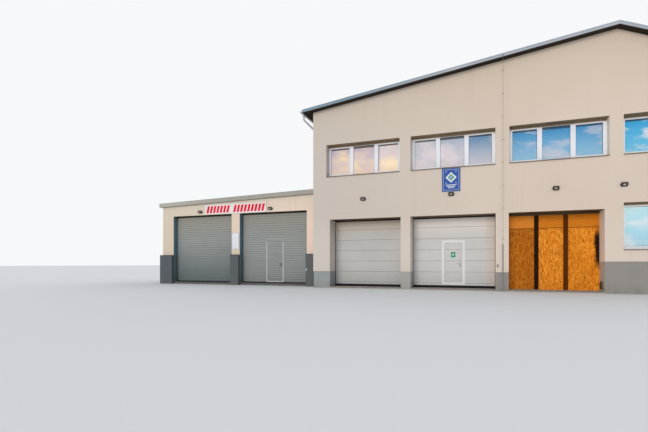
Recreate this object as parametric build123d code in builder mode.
import os
from math import cos, hypot, radians, sin, tan

from build123d import *

# A two-storey fire station hall with three vehicle doorways in its gable front, and a lower
# two-door vehicle annex on its left. Millimetres, +X to the right along the front, +Y into
# the building, +Z up. The origin is the centre of the hall's plan at ground level.

# Hall, in plan
hall_depth = 12000
corner_pier_width = 905
door_1_width = 3565
pier_1_width = 460
door_2_width = 3730
pier_2_width = 520
door_3_width = 3575
pier_depth = 850
wall_thickness = 450

# Hall, levels above the ground
floor_top = 70
door_head = 3440
beam_top = 4440
upper_floor_thickness = 300
ridge_height = 10695
ridge_from_left = 13180
left_pitch = 7.5
right_pitch = 24.2
plinth_height = 840
office_plinth_height = 1300
plinth_setback = 25

# Roof
roof_thickness = 105
eave_overhang = 450
verge_overhang = 400
roof_rib_height = 35
roof_rib_width = 90
roof_rib_angle = 60
roof_rib_pitch = 333
ridge_cap_width = 220
ridge_cap_thickness = 6
soffit_thickness = 15
verge_board_thickness = 30
verge_board_lap = 15
verge_cap_height = 45
verge_cap_proud = 12
gutter_radius = 75
gutter_wall = 4
gutter_rise = 50
pipe_radius = 50
pipe_wall_gap = 30
pipe_from_front = 600
pipe_bend = 120
pipe_drop = 240
pipe_slant = 480
pipe_clip_width = 50
pipe_clip_height = 25
pipe_clip_count = 3
pipe_clip_first = 1100
pipe_clip_below_bend = 250
rod_sides = 12
seat = 0.3

# Windows: three lights each, centred over the bays with these shifts
window_width = 3710
window_head = 7210
window_sill = 5615
window_1_shift = -120
window_2_shift = -5
window_3_shift = 95
office_window_head = 3670
office_window_sill = 1790
office_window_margin = 650
window_recess = 380
window_lights = 3
frame_depth = 70
frame_border = 75
mullion_width = 110
sash_border = 65
sash_proud = 15
bead_border = 20
pane_thickness = 24
pane_recess = 30
sill_nose = 30
sill_proud = 45
sill_sheet = 4
sill_fall = 14
side_window_gap = 1100
back_window_margin = 700

# Sectional doors
leaf_thickness = 42
leaf_gap = 30
leaf_side_cover = 60
leaf_head_cover = 60
guide_width = 50
guide_depth = 95
section_height = 535
section_gap = 0.5
seal_height = 120
seal_set_back = 10
groove_depth = 9
rib_groove_depth = 10

# Doors set in the sectional leaves
wicket_left = 1360
wicket_width = 823
wicket_bottom = 340
wicket_top = 2220
wicket_frame_width = 110
wicket_frame_proud = 8
wicket_clearance = 6
hinge_radius = 8
hinge_leaf_length = 60
hinge_count = 3
hinge_wing = 40
hinge_wing_thickness = 4
hinge_end_margin = 220
hinge_gap = 0.5
handle_height = 1150
handle_plate_width = 36
handle_plate_height = 210
handle_plate_thickness = 8
handle_plate_corner = 12
handle_edge_margin = 75
lever_length = 125
lever_width = 18
lever_bend = 14
lever_thickness = 12
lever_reach = 50
lever_rise = 50

# Boarded doorway
board_thickness = 18
board_set_in = 830
post_width = 175
post_depth = 60
post_1_from_left = 1080
post_2_from_left = 2225
board_joint_height = 2790
board_joint_gap = 0.5

# Annex
annex_setback = 1000
annex_depth = 10000
annex_wall = 300
annex_corner_pier = 810
annex_door_1_width = 4140
annex_centre_pier = 540
annex_door_2_width = 4180
annex_end_pier = 780
annex_floor_top = 130
annex_door_head = 4115
annex_left_height = 4700
annex_pitch = 1.55
annex_roof_thickness = 200
annex_roof_overhang = 130
annex_band_height = 240
annex_band_thickness = 25
annex_plinth_height = 1750
annex_plinth_proud = 170
annex_plinth_end_proud = 90
annex_section_height = 660
annex_rib_pitch = 132
annex_wicket_left = 1555
annex_wicket_width = 1085
annex_wicket_top = 2540
annex_frame_width = 60
annex_seal_height = 60

# Fixtures on the walls
lamp_width = 235
lamp_height = 165
lamp_depth = 50
lamp_corner = 14
lamp_rim = 24
lamp_lens_depth = 12
lamp_tilt = 35
lamp_arm = 90
lamp_bracket_width = 30
lamp_bracket_thickness = 5
lamp_bracket_gap = 8
lamp_bolt_radius = 10
lamp_bolt_proud = 6
lamp_fin_count = 5
lamp_fin_thickness = 4
lamp_fin_depth = 16
lamp_1_shift = -45
lamp_2_shift = -20
lamp_3_shift = 25
office_lamp_from_door = 655
annex_lamp_from_door = 1995
lamp_height_on_hall = 4385
lamp_height_on_annex = 4300
panel_width = 800
panel_height = 1060
panel_bottom = 4510
panel_thickness = 25
panel_from_left = 6370
conductor_radius = 4
conductor_standoff = 45
conductor_from_left = 8940
conductor_clip_pitch = 1000
conductor_clip_first = 2660
conductor_clip_size = 36
conductor_foot = 350
conductor_bend = 60
conductor_below_soffit = 40
guard_height = 2080
guard_radius = 24
sign_width = 4110
sign_height = 560
sign_bottom = 4130
sign_thickness = 30
sign_from_left = 3110
notice_width = 480
notice_height = 960
notice_bottom = 2040
notice_thickness = 20

# Derived places
front_y = -hall_depth / 2
back_y = hall_depth / 2
door_row = [door_1_width, door_2_width, door_3_width]
pier_row = [corner_pier_width, pier_1_width, pier_2_width]
office_front_width = window_width + 2 * office_window_margin
hall_width = sum(door_row) + sum(pier_row) + office_front_width
hall_left = -hall_width / 2
hall_right = hall_width / 2
door_lefts = []
cursor = hall_left
for pier, door in zip(pier_row, door_row):
    door_lefts.append(cursor + pier)
    cursor = cursor + pier + door
doors_end = cursor
door_centres = [left + width / 2 for left, width in zip(door_lefts, door_row)]
ridge_x = hall_left + ridge_from_left

annex_doors = [annex_door_1_width, annex_door_2_width]
annex_piers = [annex_corner_pier, annex_centre_pier, annex_end_pier]
annex_width = sum(annex_doors) + sum(annex_piers)
annex_left = hall_left - annex_width
annex_front = front_y + annex_setback
annex_back = annex_front + annex_depth
annex_door_lefts = [
    annex_left + annex_corner_pier,
    annex_left + annex_corner_pier + annex_door_1_width + annex_centre_pier,
]

window_height = window_head - window_sill
office_window_height = office_window_head - office_window_sill
office_window_x = hall_right - office_window_margin - window_width / 2
front_window_xs = [
    door_centres[0] + window_1_shift,
    door_centres[1] + window_2_shift,
    door_centres[2] + window_3_shift,
    office_window_x,
]
side_window_y = (window_width + side_window_gap) / 2
side_window_ys = [-side_window_y, side_window_y]
back_window_first = hall_left + back_window_margin + window_width / 2
back_window_pitch = -2 * back_window_first / (len(front_window_xs) - 1)
back_window_xs = [back_window_first + step * back_window_pitch
                  for step in range(len(front_window_xs))]

front_plane = Plane(origin=(0, front_y, 0), x_dir=(1, 0, 0), z_dir=(0, -1, 0))
right_plane = Plane(origin=(hall_right, 0, 0), x_dir=(0, 1, 0), z_dir=(1, 0, 0))
back_plane = Plane(origin=(0, back_y, 0), x_dir=(-1, 0, 0), z_dir=(0, 1, 0))
left_plane = Plane(origin=(hall_left, 0, 0), x_dir=(0, -1, 0), z_dir=(-1, 0, 0))
annex_plane = Plane(origin=(0, annex_front, 0), x_dir=(1, 0, 0), z_dir=(0, -1, 0))


def roof_underside(x):
    if x < ridge_x:
        return ridge_height - (ridge_x - x) * tan(radians(left_pitch))
    return ridge_height - (x - ridge_x) * tan(radians(right_pitch))


def annex_underside(x):
    return annex_left_height + (x - annex_left) * tan(radians(annex_pitch))


def spans_rectangle(x0, x1, y0, y1):
    with Locations(((x0 + x1) / 2, (y0 + y1) / 2)):
        Rectangle(x1 - x0, y1 - y0)


def bent_rod(points, bend, radius):
    """A rod of many flats along straight runs joined by equal bends, all in one plane."""
    first_run = Vector(points[1]) - Vector(points[0])
    second_run = Vector(points[2]) - Vector(points[1])
    across = first_run.cross(second_run)
    with BuildPart() as rod:
        with BuildLine() as route:
            FilletPolyline(*points, radius=bend)
        for stretch in route.edges():
            with BuildSketch(Plane(origin=stretch @ 0, x_dir=across, z_dir=stretch % 0)):
                RegularPolygon(radius, rod_sides)
            sweep(path=stretch)
    return rod.part


def save(builder, name):
    builder.part.label = name
    export_step(builder.part, f"parts/{name}.step")


os.makedirs("parts", exist_ok=True)

# Ground floor slab: fills the hall between the walls and runs out through the doorways
slab_left = hall_left + wall_thickness
slab_right = hall_right - wall_thickness
with BuildPart() as floor_slab:
    with BuildSketch(Plane.XY):
        spans_rectangle(slab_left, slab_right, front_y + pier_depth, back_y - wall_thickness)
        spans_rectangle(doors_end + wall_thickness, slab_right, front_y + wall_thickness,
                        front_y + pier_depth)
        for left, width in zip(door_lefts, door_row):
            spans_rectangle(left, left + width, front_y, front_y + pier_depth)
    extrude(amount=floor_top)
save(floor_slab, "floor_slab")

with BuildPart() as upper_floor:
    with BuildSketch(Plane.XY.offset(beam_top)):
        spans_rectangle(slab_left, slab_right, front_y + wall_thickness, back_y - wall_thickness)
    extrude(amount=upper_floor_thickness)
save(upper_floor, "upper_floor")

# Piers between the doorways, on their set-back feet
pier_spans = [
    (hall_left, door_lefts[0]),
    (door_lefts[0] + door_1_width, door_lefts[1]),
    (door_lefts[1] + door_2_width, door_lefts[2]),
]
with BuildPart() as front_piers:
    with BuildSketch(Plane.XY.offset(plinth_height)):
        for left, right in pier_spans:
            spans_rectangle(left, right, front_y, front_y + pier_depth)
    extrude(amount=door_head - plinth_height)
save(front_piers, "front_piers")

with BuildPart() as pier_feet:
    with BuildSketch(Plane.XY):
        for left, right in pier_spans:
            outer_left = left + plinth_setback if left == hall_left else left
            spans_rectangle(outer_left, right, front_y + plinth_setback, front_y + pier_depth)
    extrude(amount=plinth_height)
save(pier_feet, "pier_feet")

# The beam over the doorways, as deep as the piers
with BuildPart() as door_beam:
    with BuildSketch(Plane.XY.offset(door_head)):
        spans_rectangle(hall_left, doors_end + wall_thickness, front_y, front_y + pier_depth)
    extrude(amount=beam_top - door_head)
save(door_beam, "door_beam")

# Wall right of the doorways: its end forms the last door reveal
with BuildPart() as office_wall:
    with BuildSketch(Plane.XY.offset(office_plinth_height)):
        spans_rectangle(doors_end, hall_right, front_y, front_y + wall_thickness)
        spans_rectangle(doors_end, doors_end + wall_thickness, front_y, front_y + pier_depth)
    extrude(amount=door_head - office_plinth_height)
    with BuildSketch(Plane.XY.offset(door_head)):
        spans_rectangle(doors_end + wall_thickness, hall_right, front_y, front_y + wall_thickness)
    extrude(amount=beam_top - door_head)
    with BuildSketch(front_plane):
        with Locations((office_window_x, office_window_sill + office_window_height / 2)):
            Rectangle(window_width, office_window_height)
    extrude(amount=-wall_thickness, mode=Mode.SUBTRACT)
save(office_wall, "office_wall")

with BuildPart() as office_plinth:
    with BuildSketch(Plane.XY):
        spans_rectangle(doors_end, hall_right - plinth_setback, front_y + plinth_setback,
                        front_y + wall_thickness)
        spans_rectangle(doors_end, doors_end + wall_thickness, front_y + plinth_setback,
                        front_y + pier_depth)
    extrude(amount=office_plinth_height)
save(office_plinth, "office_plinth")


def gable_wall(plane, direction, sill_line, head_line, centres):
    """A full-width gable wall above the beam, with a row of windows."""
    with BuildPart() as wall:
        with BuildSketch(plane):
            with BuildLine():
                Polyline(
                    (direction * hall_left, beam_top),
                    (direction * hall_right, beam_top),
                    (direction * hall_right, roof_underside(hall_right)),
                    (direction * ridge_x, ridge_height),
                    (direction * hall_left, roof_underside(hall_left)),
                    close=True,
                )
            make_face()
            for centre in centres:
                with Locations((direction * centre, (sill_line + head_line) / 2)):
                    Rectangle(window_width, head_line - sill_line, mode=Mode.SUBTRACT)
        extrude(amount=-wall_thickness)
    return wall


front_upper_wall = gable_wall(front_plane, 1, window_sill, window_head, front_window_xs)
save(front_upper_wall, "front_upper_wall")
back_upper_wall = gable_wall(back_plane, -1, window_sill, window_head, back_window_xs)
save(back_upper_wall, "back_upper_wall")

with BuildPart() as back_lower_wall:
    with BuildSketch(back_plane):
        with Locations((0, (office_plinth_height + beam_top) / 2)):
            Rectangle(hall_width, beam_top - office_plinth_height)
        for centre in back_window_xs:
            with Locations((-centre, (office_window_sill + office_window_head) / 2)):
                Rectangle(window_width, office_window_height, mode=Mode.SUBTRACT)
    extrude(amount=-wall_thickness)
save(back_lower_wall, "back_lower_wall")

with BuildPart() as back_plinth:
    with BuildSketch(Plane.XY):
        spans_rectangle(hall_left + plinth_setback, hall_right - plinth_setback,
                        back_y - wall_thickness, back_y - plinth_setback)
    extrude(amount=office_plinth_height)
save(back_plinth, "back_plinth")

# Side walls stand between the gable walls; the left one starts behind the corner pier
side_back = back_y - wall_thickness
with BuildPart() as left_wall:
    with BuildSketch(Plane.YZ.offset(hall_left)):
        with BuildLine():
            Polyline(
                (front_y + pier_depth, plinth_height),
                (side_back, plinth_height),
                (side_back, roof_underside(hall_left)),
                (front_y + wall_thickness, roof_underside(hall_left)),
                (front_y + wall_thickness, beam_top),
                (front_y + pier_depth, beam_top),
                close=True,
            )
        make_face()
        for centre in side_window_ys:
            with Locations((centre, (window_sill + window_head) / 2)):
                Rectangle(window_width, window_height, mode=Mode.SUBTRACT)
    extrude(amount=wall_thickness)
save(left_wall, "left_wall")

with BuildPart() as left_plinth:
    with BuildSketch(Plane.XY):
        spans_rectangle(hall_left + plinth_setback, hall_left + wall_thickness,
                        front_y + pier_depth, side_back)
    extrude(amount=plinth_height)
save(left_plinth, "left_plinth")

with BuildPart() as right_wall:
    with BuildSketch(right_plane):
        with BuildLine():
            Polyline(
                (front_y + wall_thickness, office_plinth_height),
                (side_back, office_plinth_height),
                (side_back, roof_underside(hall_right)),
                (front_y + wall_thickness, roof_underside(hall_right)),
                close=True,
            )
        make_face()
        for centre in side_window_ys:
            with Locations((centre, (window_sill + window_head) / 2)):
                Rectangle(window_width, window_height, mode=Mode.SUBTRACT)
            with Locations((centre, (office_window_sill + office_window_head) / 2)):
                Rectangle(window_width, office_window_height, mode=Mode.SUBTRACT)
    extrude(amount=-wall_thickness)
save(right_wall, "right_wall")

with BuildPart() as right_plinth:
    with BuildSketch(Plane.XY):
        spans_rectangle(hall_right - wall_thickness, hall_right - plinth_setback,
                        front_y + wall_thickness, side_back)
    extrude(amount=office_plinth_height)
save(right_plinth, "right_plinth")


# Roof: a long shallow slope to the left and a short steep one to the right. The section at
# the eave, with the ribs of its sheet, runs up the slope to the ridge.
roof_front = front_y - verge_overhang + verge_board_thickness
roof_back = back_y + verge_overhang - verge_board_thickness
rib_count = int((roof_back - roof_front - roof_rib_width) / roof_rib_pitch)


def roof_slope(eave_x):
    underside = roof_underside(eave_x)
    sheet_level = underside + roof_thickness - roof_rib_height
    up_slope = Vector(ridge_x - eave_x, 0, ridge_height - underside)
    with BuildPart() as slope:
        with BuildSketch(Plane.YZ.offset(eave_x)):
            spans_rectangle(roof_front, roof_back, underside, sheet_level)
            with Locations((0, sheet_level + roof_rib_height / 2)):
                with GridLocations(roof_rib_pitch, 1, rib_count, 1):
                    Trapezoid(roof_rib_width, roof_rib_height, roof_rib_angle)
        extrude(amount=up_slope.length, dir=up_slope)
    return slope


eave_left = hall_left - eave_overhang
eave_right = hall_right + eave_overhang
roof_left = roof_slope(eave_left)
save(roof_left, "roof_left")
roof_right = roof_slope(eave_right)
save(roof_right, "roof_right")


def slope_outline(left_x, right_x, low, high):
    """A band that follows both slopes, between two heights above their underside."""
    Polygon(
        (left_x, roof_underside(left_x) + low),
        (ridge_x, ridge_height + low),
        (right_x, roof_underside(right_x) + low),
        (right_x, roof_underside(right_x) + high),
        (ridge_x, ridge_height + high),
        (left_x, roof_underside(left_x) + high),
        align=None,
    )


# A folded cap covers the ridge, on top of the ribs
with BuildPart() as ridge_cap:
    with BuildSketch(Plane.XZ.offset(-roof_front)):
        slope_outline(ridge_x - ridge_cap_width, ridge_x + ridge_cap_width, roof_thickness,
                      roof_thickness + ridge_cap_thickness)
    extrude(amount=roof_front - roof_back)
save(ridge_cap, "ridge_cap")

# Boards close the underside of the overhangs, all the way round
with BuildPart() as soffit_boards:
    for front, back in ((roof_front, front_y), (back_y, roof_back)):
        with BuildSketch(Plane.XZ.offset(-front)):
            slope_outline(eave_left, eave_right, -soffit_thickness, 0)
        extrude(amount=front - back)
    for inner, outer in ((hall_left, eave_left), (hall_right, eave_right)):
        with BuildSketch(Plane.XZ.offset(-front_y)):
            Polygon(
                (inner, roof_underside(inner) - soffit_thickness),
                (outer, roof_underside(outer) - soffit_thickness),
                (outer, roof_underside(outer)),
                (inner, roof_underside(inner)),
                align=None,
            )
        extrude(amount=-hall_depth)
save(soffit_boards, "soffit_boards")

# Metal verge boards close the ends of both slopes; their folded cap stands proud
verge_high = roof_thickness + verge_board_lap
verge_face = front_y - verge_overhang
with BuildPart() as verge_boards:
    for inner, outward in ((roof_front, 1), (roof_back, -1)):
        for proud, low in ((0, -verge_board_lap), (verge_cap_proud, verge_high - verge_cap_height)):
            with BuildSketch(Plane.XZ.offset(-inner)):
                slope_outline(eave_left, eave_right, low, verge_high)
            extrude(amount=outward * (verge_board_thickness + proud))
save(verge_boards, "verge_boards")


# Half-round gutters hang on both eaves, closed at their ends
def gutter_rim(eave_x):
    return roof_underside(eave_x) + gutter_rise


def gutter(eave_x, side):
    centre_x = eave_x + side * (gutter_radius + seat)
    rim = gutter_rim(eave_x)
    start = front_y - verge_overhang
    length = hall_depth + 2 * verge_overhang
    plane = Plane(origin=(centre_x, start, rim), x_dir=(1, 0, 0), z_dir=(0, 1, 0))
    with BuildPart() as trough:
        with BuildSketch(plane):
            Circle(gutter_radius)
            with Locations((0, -gutter_radius / 2)):
                Rectangle(2 * gutter_radius, gutter_radius, mode=Mode.SUBTRACT)
        extrude(amount=length)
        with BuildSketch(plane.offset(gutter_wall)):
            Circle(gutter_radius - gutter_wall)
        extrude(amount=length - 2 * gutter_wall, mode=Mode.SUBTRACT)
    return trough.part


with BuildPart() as gutters:
    add(gutter(eave_left, -1))
    add(gutter(eave_right, 1))
save(gutters, "gutters")


# Downpipes run from the gutters back to the side walls and down to the ground
def downpipe(eave_x, wall_x, side):
    gutter_x = eave_x + side * (gutter_radius + seat)
    under = gutter_rim(eave_x) - gutter_radius - seat
    pipe_x = wall_x + side * (pipe_radius + pipe_wall_gap)
    pipe_y = front_y + pipe_from_front
    straight_top = under - pipe_drop - pipe_slant
    clip_rise = (straight_top - pipe_clip_below_bend - pipe_clip_first) / (pipe_clip_count - 1)
    route = [
        (gutter_x, front_y, under),
        (gutter_x, front_y, under - pipe_drop),
        (pipe_x, pipe_y, straight_top),
        (pipe_x, pipe_y, 0),
    ]
    with BuildPart() as pipe:
        add(bent_rod(route, pipe_bend, pipe_radius))
        for step in range(pipe_clip_count):
            level = pipe_clip_first + step * clip_rise
            with BuildSketch(Plane(origin=(wall_x, pipe_y, level), z_dir=(side, 0, 0))):
                Rectangle(pipe_clip_width, pipe_clip_height)
            extrude(amount=pipe_wall_gap + pipe_radius)
    return pipe.part


with BuildPart() as downpipes:
    add(downpipe(eave_left, hall_left, -1))
    add(downpipe(eave_right, hall_right, 1))
save(downpipes, "downpipes")


# Windows. Each opening holds one frame of three lights, three panes and a folded sill. The
# outer lights open in sashes, and the middle one is fixed behind a narrow bead.
light_pitch = (window_width - 2 * frame_border + mullion_width) / window_lights
light_width = light_pitch - mullion_width
light_shifts = [(step - (window_lights - 1) / 2) * light_pitch for step in range(window_lights)]
sash_shifts = [light_shifts[0], light_shifts[-1]]
fixed_shifts = light_shifts[1:-1]


def glass_row(centre, sill_line, head_line):
    """The glass of each light: its middle, width and height."""
    middle = (sill_line + head_line) / 2
    light_height = head_line - sill_line - 2 * frame_border
    row = []
    for shifts, rim in ((sash_shifts, sash_border), (fixed_shifts, bead_border)):
        for shift in shifts:
            row.append(((centre + shift, middle), light_width - 2 * rim, light_height - 2 * rim))
    return row


def window_frame(plane, centre, sill_line, head_line):
    middle = (sill_line + head_line) / 2
    light_height = head_line - sill_line - 2 * frame_border
    with BuildPart() as frame:
        with BuildSketch(plane.offset(-window_recess)):
            with Locations((centre, middle)):
                Rectangle(window_width, head_line - sill_line)
            for place, width, height in glass_row(centre, sill_line, head_line):
                with Locations(place):
                    Rectangle(width, height, mode=Mode.SUBTRACT)
        extrude(amount=-frame_depth)
        with BuildSketch(plane.offset(-window_recess + sash_proud)):
            for shift in sash_shifts:
                with Locations((centre + shift, middle)):
                    Rectangle(light_width, light_height)
                    Rectangle(light_width - 2 * sash_border, light_height - 2 * sash_border,
                              mode=Mode.SUBTRACT)
        extrude(amount=-sash_proud)
    return frame.part


def window_panes(plane, centre, sill_line, head_line):
    with BuildPart() as panes:
        with BuildSketch(plane.offset(-window_recess - pane_recess)):
            for place, width, height in glass_row(centre, sill_line, head_line):
                with Locations(place):
                    Rectangle(width, height)
        extrude(amount=-pane_thickness)
    return panes.part


def window_sill_sheet(plane, centre, sill_line):
    """A folded sheet that falls from the frame to the wall face and turns down over it."""
    right_end = plane.from_local_coords((centre + window_width / 2, sill_line, 0))
    back = seat - window_recess
    with BuildPart() as sheet:
        with BuildSketch(Plane(origin=right_end, x_dir=plane.z_dir, z_dir=-plane.x_dir)):
            Polygon(
                (back, sill_fall),
                (0, 0),
                (sill_proud - sill_sheet, 0),
                (sill_proud - sill_sheet, -sill_nose),
                (sill_proud, -sill_nose),
                (sill_proud, sill_sheet),
                (0, sill_sheet),
                (back, sill_fall + sill_sheet),
                align=None,
            )
        extrude(amount=window_width)
    return sheet.part


front_windows = [(front_plane, x, window_sill, window_head) for x in front_window_xs]
front_windows.append((front_plane, office_window_x, office_window_sill, office_window_head))
rear_windows = []
for x in back_window_xs:
    rear_windows.append((back_plane, -x, window_sill, window_head))
    rear_windows.append((back_plane, -x, office_window_sill, office_window_head))
for y in side_window_ys:
    rear_windows.append((right_plane, y, window_sill, window_head))
    rear_windows.append((right_plane, y, office_window_sill, office_window_head))
    rear_windows.append((left_plane, -y, window_sill, window_head))

for side, windows in (("front", front_windows), ("rear", rear_windows)):
    with BuildPart() as frames:
        for plane, centre, sill_line, head_line in windows:
            add(window_frame(plane, centre, sill_line, head_line))
    save(frames, f"{side}_window_frames")
    with BuildPart() as panes:
        for plane, centre, sill_line, head_line in windows:
            add(window_panes(plane, centre, sill_line, head_line))
    save(panes, f"{side}_window_panes")
    with BuildPart() as sills:
        for plane, centre, sill_line, head_line in windows:
            add(window_sill_sheet(plane, centre, sill_line))
    save(sills, f"{side}_window_sills")


# Sectional doors. A leaf is a stack of sections with a groove at every joint.
def groove_lines(bottom, top, pitch):
    count = int((top - bottom) / pitch)
    lines = [top - step * pitch for step in range(1, count + 1)]
    return [line for line in lines if line > bottom + groove_depth]


def grooved_panel(left, right, front, bottom, top, joints, ribs):
    """A door panel with V grooves across its front face at the joints and the ribs."""
    with BuildPart() as panel:
        with BuildSketch(Plane.YZ.offset(left)):
            spans_rectangle(front, front + leaf_thickness, bottom, top)
            for depth, levels in ((groove_depth, joints), (rib_groove_depth, ribs)):
                for level in levels:
                    with Locations(Location((front, level), 45)):
                        Rectangle(hypot(depth, depth), hypot(depth, depth), mode=Mode.SUBTRACT)
        extrude(amount=right - left)
    return panel.part


def sectional_door(left, right, front, bottom, top, joints, ribs, wicket=None):
    with BuildPart() as door:
        add(grooved_panel(left, right, front, bottom, top, joints, ribs))
        with BuildSketch(Plane.XZ.offset(-front)):
            for level in joints:
                with Locations(((left + right) / 2, level)):
                    Rectangle(right - left, section_gap)
            if wicket:
                hole_left, hole_right, hole_bottom, hole_top = wicket
                spans_rectangle(hole_left, hole_right, hole_bottom, hole_top)
        extrude(amount=-leaf_thickness, mode=Mode.SUBTRACT)
    return door


leaf_front = front_y + pier_depth + leaf_gap
leaf_top = door_head + leaf_head_cover
leaf_bottom = floor_top + seal_height
door_joints = groove_lines(leaf_bottom, leaf_top, section_height)

door_1 = sectional_door(door_lefts[0] - leaf_side_cover,
                        door_lefts[0] + door_1_width + leaf_side_cover,
                        leaf_front, leaf_bottom, leaf_top, door_joints, [])
save(door_1, "door_1")

wicket_x0 = door_lefts[1] + wicket_left
wicket_x1 = wicket_x0 + wicket_width + 2 * wicket_frame_width
door_2 = sectional_door(door_lefts[1] - leaf_side_cover,
                        door_lefts[1] + door_2_width + leaf_side_cover,
                        leaf_front, leaf_bottom, leaf_top, door_joints, [],
                        (wicket_x0, wicket_x1, wicket_bottom - wicket_frame_width,
                         wicket_top + wicket_frame_width))
save(door_2, "door_2")

with BuildPart() as door_seals:
    with BuildSketch(Plane.XY.offset(floor_top)):
        for left, width in zip(door_lefts[:2], door_row):
            spans_rectangle(left - leaf_side_cover, left + width + leaf_side_cover,
                            leaf_front + seal_set_back, leaf_front + leaf_thickness)
    extrude(amount=seal_height)
save(door_seals, "door_seals")


def guide_pair(left, right, base, top, wall_back):
    """Upright guide channels that hold the ends of a sectional leaf."""
    with BuildPart() as guides:
        with BuildSketch(Plane.XY.offset(base)):
            spans_rectangle(left - seat - guide_width, left - seat, wall_back,
                            wall_back + guide_depth)
            spans_rectangle(right + seat, right + seat + guide_width, wall_back,
                            wall_back + guide_depth)
        extrude(amount=top - base)
    return guides.part


with BuildPart() as door_guides:
    for left, width in zip(door_lefts[:2], door_row):
        add(guide_pair(left - leaf_side_cover, left + width + leaf_side_cover, floor_top,
                       leaf_top, front_y + pier_depth))
save(door_guides, "door_guides")


def hinge_levels(bottom, top):
    span = top - bottom - 2 * hinge_end_margin
    return [bottom + hinge_end_margin + step * span / (hinge_count - 1)
            for step in range(hinge_count)]


def hinge_axis(x0, border, front):
    axis_y = front - wicket_frame_proud - hinge_radius - hinge_gap
    return x0 + border + wicket_clearance / 2, axis_y


def framed_opening(x0, x1, bottom, top, border, front):
    """The frame of a wicket, with the two outer knuckles of each hinge on wings."""
    axis_x, axis_y = hinge_axis(x0, border, front)
    face = front - wicket_frame_proud
    with BuildPart() as frame:
        with BuildSketch(Plane.XZ.offset(-face)):
            spans_rectangle(x0, x1, bottom - border, top + border)
            with Locations(((x0 + x1) / 2, (bottom + top) / 2)):
                Rectangle(x1 - x0 - 2 * border, top - bottom, mode=Mode.SUBTRACT)
        extrude(amount=-leaf_thickness - wicket_frame_proud)
        for level in hinge_levels(bottom, top):
            middle_base = level - hinge_leaf_length / 2
            for base in (middle_base - hinge_leaf_length, middle_base + hinge_leaf_length):
                with BuildSketch(Plane.XY.offset(base)):
                    with Locations((axis_x, axis_y)):
                        RegularPolygon(hinge_radius, rod_sides)
                    spans_rectangle(axis_x - hinge_wing, axis_x, face - hinge_wing_thickness,
                                    face)
                extrude(amount=hinge_leaf_length - seat)
    return frame


def hinged_leaf(x0, x1, bottom, top, border, front, joints, ribs):
    """A wicket leaf cut from the same panel, with the middle knuckle of each hinge."""
    clear = wicket_clearance
    low = bottom + clear
    high = top - clear
    inside = [level for level in joints if low < level < high]
    inside_ribs = [level for level in ribs if low < level < high]
    axis_x, axis_y = hinge_axis(x0, border, front)
    with BuildPart() as leaf:
        add(grooved_panel(x0 + border + clear, x1 - border - clear, front, low, high,
                          inside, inside_ribs))
        for level in hinge_levels(bottom, top):
            with BuildSketch(Plane.XY.offset(level - hinge_leaf_length / 2)):
                with Locations((axis_x, axis_y)):
                    RegularPolygon(hinge_radius, rod_sides)
                spans_rectangle(axis_x, axis_x + hinge_wing,
                                front - wicket_frame_proud - hinge_wing_thickness, front)
            extrude(amount=hinge_leaf_length - seat)
    return leaf


def lever_handle(right_edge, front):
    """A backplate with a lever that points back towards the hinges."""
    centre_x = right_edge - handle_edge_margin
    with BuildPart() as handle:
        with BuildSketch(Plane.XZ.offset(-front)):
            with Locations((centre_x, handle_height)):
                RectangleRounded(handle_plate_width, handle_plate_height, handle_plate_corner)
        extrude(amount=handle_plate_thickness)
        with BuildSketch(Plane.XY.offset(handle_height + lever_rise)):
            with BuildLine():
                FilletPolyline(
                    (centre_x, front - handle_plate_thickness),
                    (centre_x, front - lever_reach),
                    (centre_x - lever_length, front - lever_reach),
                    radius=lever_bend,
                )
            trace(line_width=lever_thickness)
        extrude(amount=lever_width)
    return handle


wicket_frame = framed_opening(wicket_x0, wicket_x1, wicket_bottom, wicket_top,
                              wicket_frame_width, leaf_front)
save(wicket_frame, "wicket_frame")

wicket_leaf = hinged_leaf(wicket_x0, wicket_x1, wicket_bottom, wicket_top,
                          wicket_frame_width, leaf_front, door_joints, [])
save(wicket_leaf, "wicket_leaf")
wicket_handle = lever_handle(wicket_x1 - wicket_frame_width - wicket_clearance, leaf_front)
save(wicket_handle, "wicket_handle")

# Third doorway: closed by boards between upright posts
board_front = front_y + board_set_in
board_left = door_lefts[2]
post_spans = [
    (board_left + post_1_from_left, board_left + post_1_from_left + post_width),
    (board_left + post_2_from_left, board_left + post_2_from_left + post_width),
]
with BuildPart() as board_posts:
    with BuildSketch(Plane.XY.offset(floor_top)):
        for left, right in post_spans:
            spans_rectangle(left, right, board_front - post_depth + board_thickness,
                            board_front + board_thickness)
    extrude(amount=door_head - floor_top)
save(board_posts, "board_posts")

board_edges = [board_left, *[edge for span in post_spans for edge in span], doors_end]
with BuildPart() as door_boards:
    for left, right in zip(board_edges[0::2], board_edges[1::2]):
        with BuildSketch(Plane.XY.offset(floor_top)):
            spans_rectangle(left, right, board_front, board_front + board_thickness)
        extrude(amount=board_joint_height - floor_top - board_joint_gap)
save(door_boards, "door_boards")

with BuildPart() as head_boards:
    for left, right in zip(board_edges[0::2], board_edges[1::2]):
        with BuildSketch(Plane.XY.offset(board_joint_height)):
            spans_rectangle(left, right, board_front, board_front + board_thickness)
        extrude(amount=door_head - board_joint_height)
save(head_boards, "head_boards")

# Annex: piers on proud plinths, one wall over both doorways, a roof rising to the hall
annex_pier_spans = [
    (annex_left, annex_door_lefts[0]),
    (annex_door_lefts[0] + annex_door_1_width, annex_door_lefts[1]),
    (annex_door_lefts[1] + annex_door_2_width, hall_left),
]
with BuildPart() as annex_piers:
    with BuildSketch(Plane.XY):
        for left, right in annex_pier_spans:
            spans_rectangle(left, right, annex_front, annex_front + annex_wall)
    extrude(amount=annex_door_head)
save(annex_piers, "annex_piers")

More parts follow.
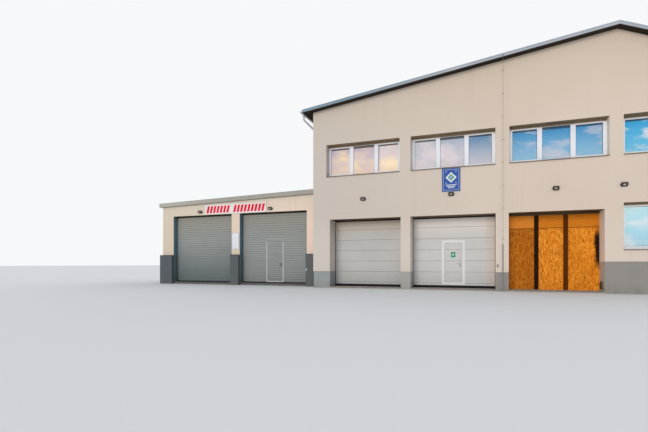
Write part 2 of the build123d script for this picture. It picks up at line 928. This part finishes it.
with BuildPart() as annex_front_wall:
    with BuildSketch(annex_plane):
        with BuildLine():
            Polyline(
                (annex_left, annex_door_head),
                (hall_left, annex_door_head),
                (hall_left, annex_underside(hall_left)),
                (annex_left, annex_underside(annex_left)),
                close=True,
            )
        make_face()
    extrude(amount=-annex_wall)
save(annex_front_wall, "annex_front_wall")

with BuildPart() as annex_back_wall:
    with BuildSketch(Plane.XZ.offset(-annex_back + annex_wall)):
        with BuildLine():
            Polyline(
                (annex_left, 0),
                (hall_left, 0),
                (hall_left, annex_underside(hall_left)),
                (annex_left, annex_underside(annex_left)),
                close=True,
            )
        make_face()
    extrude(amount=-annex_wall)
save(annex_back_wall, "annex_back_wall")

with BuildPart() as annex_left_wall:
    with BuildSketch(Plane.XZ.offset(-annex_front - annex_wall)):
        with BuildLine():
            Polyline(
                (annex_left, 0),
                (annex_left + annex_wall, 0),
                (annex_left + annex_wall, annex_underside(annex_left + annex_wall)),
                (annex_left, annex_underside(annex_left)),
                close=True,
            )
        make_face()
    extrude(amount=-annex_depth + 2 * annex_wall)
save(annex_left_wall, "annex_left_wall")

with BuildPart() as annex_floor:
    with BuildSketch(Plane.XY):
        spans_rectangle(annex_left + annex_wall, hall_left, annex_front + annex_wall,
                        annex_back - annex_wall)
        for left, width in zip(annex_door_lefts, annex_doors):
            spans_rectangle(left, left + width, annex_front, annex_front + annex_wall)
    extrude(amount=annex_floor_top)
save(annex_floor, "annex_floor")

plinth_front = annex_front - annex_plinth_proud
with BuildPart() as annex_plinth:
    with BuildSketch(Plane.XY):
        spans_rectangle(annex_left - annex_plinth_end_proud, annex_left, plinth_front, annex_back)
        for left, right in annex_pier_spans:
            spans_rectangle(left, right, plinth_front, annex_front)
    extrude(amount=annex_plinth_height)
save(annex_plinth, "annex_plinth")

annex_roof_left = annex_left - annex_roof_overhang
annex_roof_front = annex_front - annex_roof_overhang
annex_roof_back = annex_back + annex_roof_overhang


def annex_roof_outline(thickness):
    Polygon(
        (annex_roof_left, annex_underside(annex_roof_left)),
        (hall_left, annex_underside(hall_left)),
        (hall_left, annex_underside(hall_left) + thickness),
        (annex_roof_left, annex_underside(annex_roof_left) + thickness),
        align=None,
    )


with BuildPart() as annex_roof:
    with BuildSketch(Plane.XZ.offset(-annex_roof_front)):
        annex_roof_outline(annex_roof_thickness)
    extrude(amount=annex_roof_front - annex_roof_back)
save(annex_roof, "annex_roof")

# The sheet band stands a little higher than the roof along its three open edges
band_front = annex_roof_front - annex_band_thickness
band_back = annex_roof_back + annex_band_thickness
with BuildPart() as annex_roof_band:
    with BuildSketch(Plane.XZ.offset(-band_front)):
        annex_roof_outline(annex_band_height)
    extrude(amount=-annex_band_thickness)
    with BuildSketch(Plane.XZ.offset(-annex_roof_back)):
        annex_roof_outline(annex_band_height)
    extrude(amount=-annex_band_thickness)
    with BuildSketch(Plane.YZ.offset(annex_roof_left)):
        spans_rectangle(band_front, band_back, annex_underside(annex_roof_left),
                        annex_underside(annex_roof_left) + annex_band_height)
    extrude(amount=-annex_band_thickness)
save(annex_roof_band, "annex_roof_band")

# Annex doors, ribbed, each in the opening behind a shallow reveal
annex_leaf_front = annex_front + annex_wall + leaf_gap
annex_leaf_top = annex_door_head + leaf_head_cover
annex_leaf_bottom = annex_floor_top + annex_seal_height
annex_joints = groove_lines(annex_leaf_bottom, annex_leaf_top, annex_section_height)
annex_ribs = []
for line in groove_lines(annex_leaf_bottom, annex_leaf_top, annex_rib_pitch):
    if all(abs(line - joint) > annex_rib_pitch / 2 for joint in annex_joints):
        annex_ribs.append(line)

annex_door_1 = sectional_door(annex_door_lefts[0] - leaf_side_cover,
                              annex_door_lefts[0] + annex_door_1_width + leaf_side_cover,
                              annex_leaf_front, annex_leaf_bottom, annex_leaf_top,
                              annex_joints, annex_ribs)
save(annex_door_1, "annex_door_1")

annex_wicket_bottom = annex_leaf_bottom + annex_frame_width
annex_wicket_x0 = annex_door_lefts[1] + annex_wicket_left
annex_wicket_x1 = annex_wicket_x0 + annex_wicket_width
annex_door_2 = sectional_door(annex_door_lefts[1] - leaf_side_cover,
                              annex_door_lefts[1] + annex_door_2_width + leaf_side_cover,
                              annex_leaf_front, annex_leaf_bottom, annex_leaf_top,
                              annex_joints, annex_ribs,
                              (annex_wicket_x0, annex_wicket_x1,
                               annex_wicket_bottom - annex_frame_width,
                               annex_wicket_top + annex_frame_width))
save(annex_door_2, "annex_door_2")

annex_wicket_frame = framed_opening(annex_wicket_x0, annex_wicket_x1, annex_wicket_bottom,
                                    annex_wicket_top, annex_frame_width, annex_leaf_front)
save(annex_wicket_frame, "annex_wicket_frame")

annex_wicket_leaf = hinged_leaf(annex_wicket_x0, annex_wicket_x1, annex_wicket_bottom,
                                annex_wicket_top, annex_frame_width, annex_leaf_front,
                                annex_joints, annex_ribs)
save(annex_wicket_leaf, "annex_wicket_leaf")
annex_wicket_handle = lever_handle(annex_wicket_x1 - annex_frame_width - wicket_clearance,
                                   annex_leaf_front)
save(annex_wicket_handle, "annex_wicket_handle")

with BuildPart() as annex_door_seals:
    with BuildSketch(Plane.XY.offset(annex_floor_top)):
        for left, width in zip(annex_door_lefts, annex_doors):
            spans_rectangle(left - leaf_side_cover, left + width + leaf_side_cover,
                            annex_leaf_front + seal_set_back,
                            annex_leaf_front + leaf_thickness)
    extrude(amount=annex_seal_height)
save(annex_door_seals, "annex_door_seals")

with BuildPart() as annex_door_guides:
    for left, width in zip(annex_door_lefts, annex_doors):
        add(guide_pair(left - leaf_side_cover, left + width + leaf_side_cover,
                       annex_floor_top, annex_leaf_top, annex_front + annex_wall))
save(annex_door_guides, "annex_door_guides")


# Floodlights: a finned housing tilted down between the arms of a strap, on one long bolt
def floodlight(x, face_y, level):
    pivot_y = face_y - lamp_arm
    inner_width = lamp_width + 2 * lamp_bracket_gap
    outer_width = inner_width + 2 * lamp_bracket_thickness
    head = Plane(origin=(x, pivot_y, level), x_dir=(1, 0, 0),
                 z_dir=(0, -cos(radians(lamp_tilt)), -sin(radians(lamp_tilt))))
    fin_pitch = (lamp_width - 2 * lamp_rim) / (lamp_fin_count - 1)
    with BuildPart() as lamp:
        with BuildSketch(Plane.XY.offset(level - lamp_bracket_width / 2)):
            spans_rectangle(x - outer_width / 2, x + outer_width / 2,
                            pivot_y - lamp_bracket_width / 2, face_y)
            with Locations((x, pivot_y - lamp_bracket_thickness)):
                Rectangle(inner_width, 2 * lamp_arm, mode=Mode.SUBTRACT)
        extrude(amount=lamp_bracket_width)
        with BuildSketch(Plane.YZ.offset(x - outer_width / 2 - lamp_bolt_proud)):
            with Locations((pivot_y, level)):
                RegularPolygon(lamp_bolt_radius, 6)
        extrude(amount=outer_width + 2 * lamp_bolt_proud)
        with BuildSketch(head.offset(-lamp_depth / 2)):
            Rectangle(lamp_width, lamp_height)
            chamfer(vertices(), length=lamp_corner)
        extrude(amount=lamp_depth)
        with BuildSketch(head.offset(lamp_depth / 2)):
            Rectangle(lamp_width - 2 * lamp_rim, lamp_height - 2 * lamp_rim)
        extrude(amount=-lamp_lens_depth, mode=Mode.SUBTRACT)
        with BuildSketch(head.offset(-lamp_depth / 2)):
            with GridLocations(fin_pitch, 1, lamp_fin_count, 1):
                Rectangle(lamp_fin_thickness, lamp_height - 2 * lamp_rim)
        extrude(amount=-lamp_fin_depth)
    return lamp.part


lamp_shifts = [lamp_1_shift, lamp_2_shift, lamp_3_shift]
hall_lamp_xs = [centre + shift for centre, shift in zip(door_centres, lamp_shifts)]
office_lamp_x = doors_end + office_lamp_from_door
annex_lamp_xs = [left + annex_lamp_from_door for left in annex_door_lefts]
with BuildPart() as floodlights:
    for x in [*hall_lamp_xs, office_lamp_x]:
        add(floodlight(x, front_y, lamp_height_on_hall))
    for x in annex_lamp_xs:
        add(floodlight(x, annex_front, lamp_height_on_annex))
save(floodlights, "floodlights")


# Flat boards fixed to the fronts
def wall_board(left, bottom, width, height, thickness, face_y):
    with BuildPart() as board:
        with BuildSketch(Plane.XZ.offset(-face_y)):
            spans_rectangle(left, left + width, bottom, bottom + height)
        extrude(amount=thickness)
    return board


picture_panel = wall_board(hall_left + panel_from_left, panel_bottom, panel_width,
                           panel_height, panel_thickness, front_y)
save(picture_panel, "picture_panel")
sign_board = wall_board(annex_left + sign_from_left, sign_bottom, sign_width, sign_height,
                        sign_thickness, annex_front)
save(sign_board, "sign_board")
notice_left = annex_pier_spans[1][0] + (annex_centre_pier - notice_width) / 2
notice_board = wall_board(notice_left, notice_bottom, notice_width, notice_height,
                          notice_thickness, annex_front)
save(notice_board, "notice_board")

# Lightning conductor: a rod held off the front by clips, with a guard tube at its foot. It
# turns out below the soffit and up the verge board, where a last clip holds its end.
conductor_x = hall_left + conductor_from_left
conductor_y = front_y - conductor_standoff
conductor_turn = roof_underside(conductor_x) - soffit_thickness - conductor_below_soffit
conductor_end = roof_underside(conductor_x) + verge_high - verge_cap_height
clip_count = int((conductor_turn - conductor_clip_first) / conductor_clip_pitch) + 1
conductor_clips = [(front_y, conductor_clip_first + step * conductor_clip_pitch)
                   for step in range(clip_count)]
conductor_clips.append((verge_face, conductor_end - conductor_clip_size))
with BuildPart() as lightning_conductor:
    add(bent_rod([
        (conductor_x, conductor_y, conductor_foot),
        (conductor_x, conductor_y, conductor_turn),
        (conductor_x, verge_face - conductor_standoff, conductor_turn),
        (conductor_x, verge_face - conductor_standoff, conductor_end),
    ], conductor_bend, conductor_radius))
    for face_y, level in conductor_clips:
        with BuildSketch(Plane.XZ.offset(-face_y)):
            with Locations((conductor_x, level)):
                Rectangle(conductor_clip_size, conductor_clip_size)
        extrude(amount=conductor_standoff + conductor_radius)
save(lightning_conductor, "lightning_conductor")

with BuildPart() as conductor_guard:
    with BuildSketch(Plane.XY):
        with Locations((conductor_x, conductor_y)):
            RegularPolygon(guard_radius, rod_sides)
            RegularPolygon(conductor_radius + seat, rod_sides, mode=Mode.SUBTRACT)
    extrude(amount=guard_height)
    guard_grip = conductor_standoff - (guard_radius + conductor_radius) / 2
    for level, face_y in (
        (plinth_height / 2, front_y + plinth_setback),
        (guard_height - conductor_clip_size, front_y),
    ):
        with BuildSketch(Plane.XZ.offset(-face_y)):
            with Locations((conductor_x, level)):
                Rectangle(conductor_clip_size, conductor_clip_size)
        extrude(amount=face_y - front_y + guard_grip)
save(conductor_guard, "conductor_guard")
